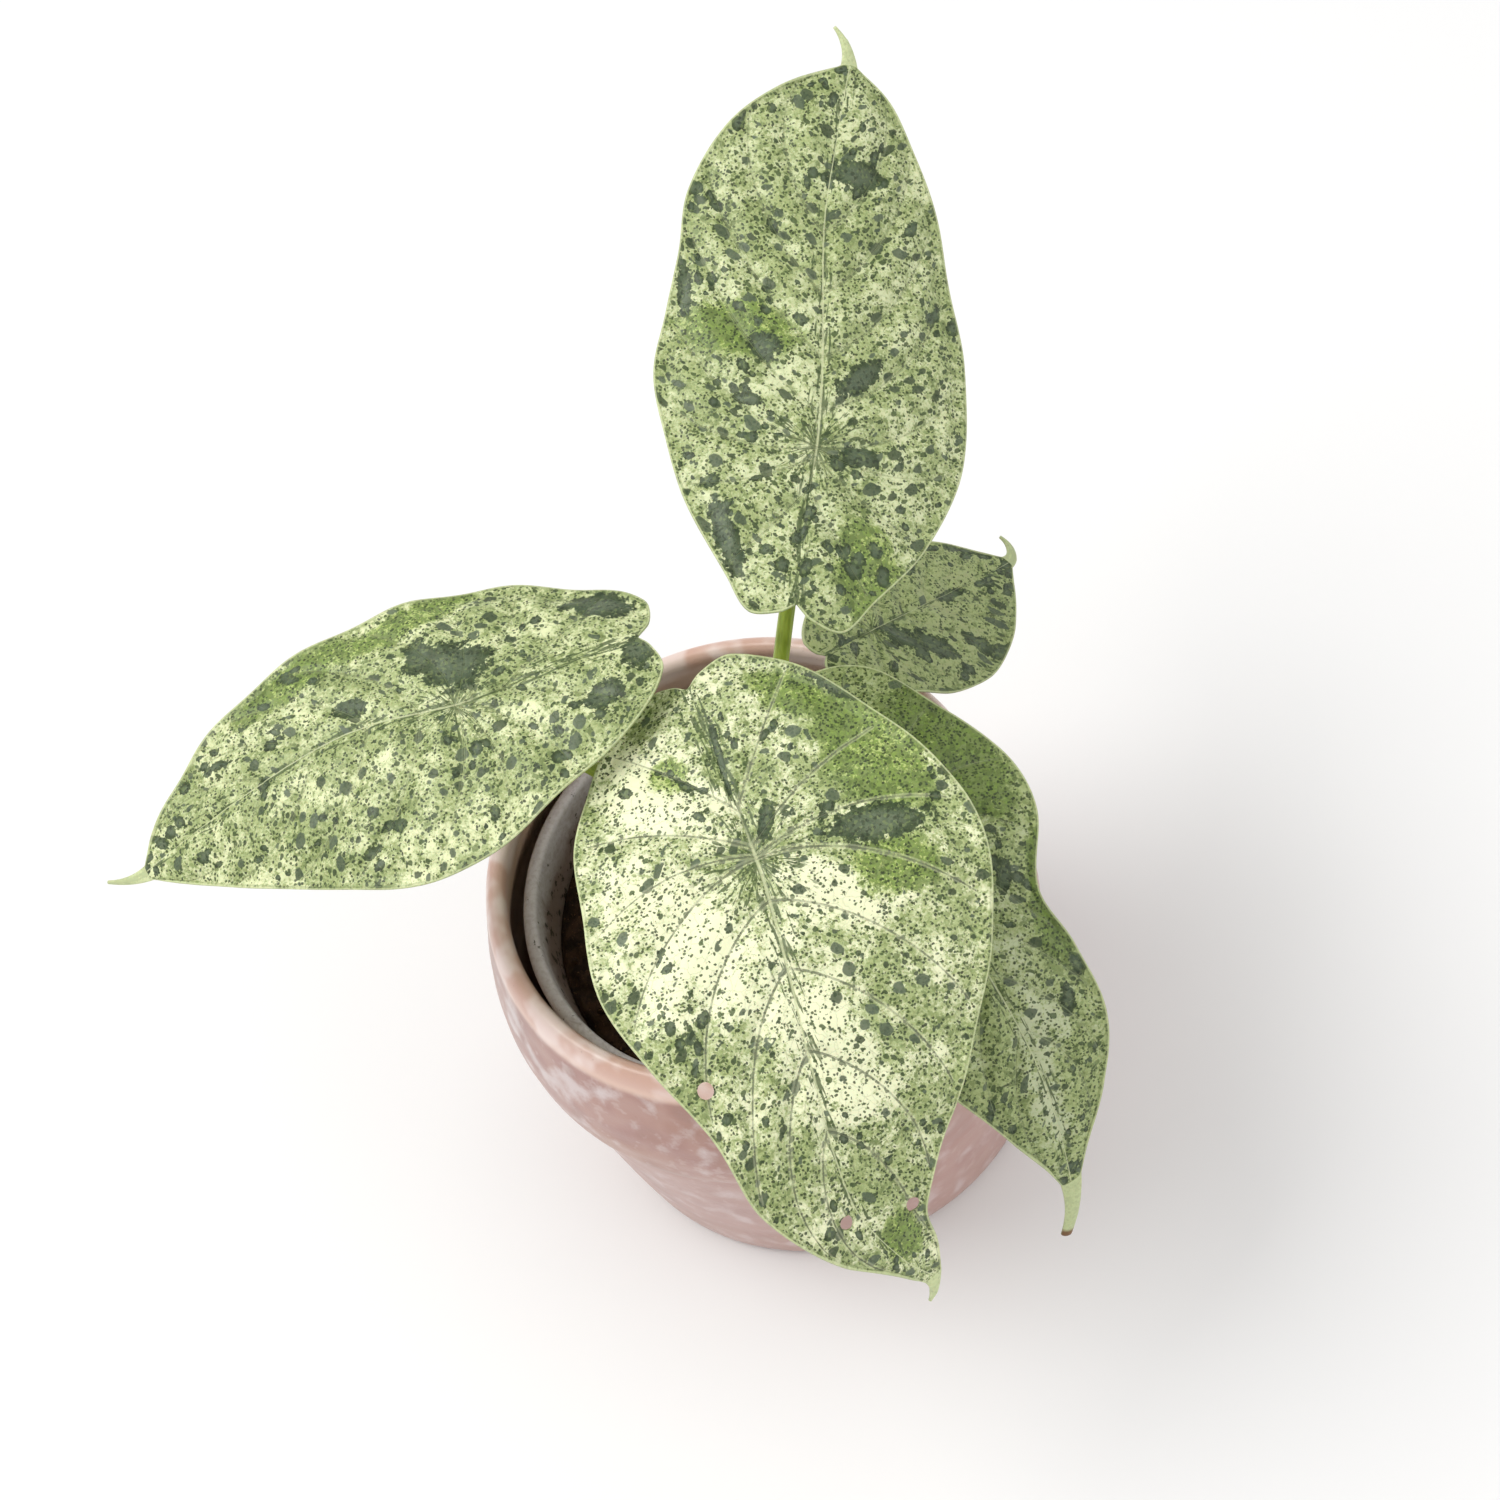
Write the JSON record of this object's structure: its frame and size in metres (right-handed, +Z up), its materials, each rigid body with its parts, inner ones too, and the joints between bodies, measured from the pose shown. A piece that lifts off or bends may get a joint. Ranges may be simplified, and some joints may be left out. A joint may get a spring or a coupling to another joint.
{
  "type": "potted alocasia",
  "caption": "Potted foliage plant: shield-shaped, cream and green variegated leaves with drip tips on arching stalks, rooted in a nursery pot inside a stepped, glazed cover pot.",
  "frame": {"origin": "centre of the cover pot's flat foot, on the surface it stands on", "axes": "+Z up along the cover pot's axis; -Y is the front, over which the largest leaf droops; -X is the side of the long left leaf"},
  "size_m": [0.2334, 0.2364, 0.2374],
  "materials": {
    "glaze": "mottled pink and mauve semi-gloss glaze over stoneware, opaque",
    "white_plastic": "dusty off-white moulded plastic, satin",
    "potting_mix": "dark moist peat mix with a few white perlite grains",
    "stalk": "smooth olive-green living stalk, satin",
    "leaf_cream": "cream leaf with green flecks, patches and veins, satin, slightly quilted",
    "leaf_green": "yellow-green leaf with dense dark flecks and blotches, satin, slightly quilted"
  },
  "bodies": {
    "root": {"cover_pot": "glaze", "nursery_pot": "white_plastic", "soil": "potting_mix", "stalk_top": "stalk", "stalk_left": "stalk", "stalk_front": "stalk", "stalk_right": "stalk", "stalk_small": "stalk", "leaf_top": "leaf_cream", "leaf_left": "leaf_green", "leaf_front": "leaf_cream", "leaf_right": "leaf_green", "leaf_small": "leaf_green"}
  },
  "joints": []
}
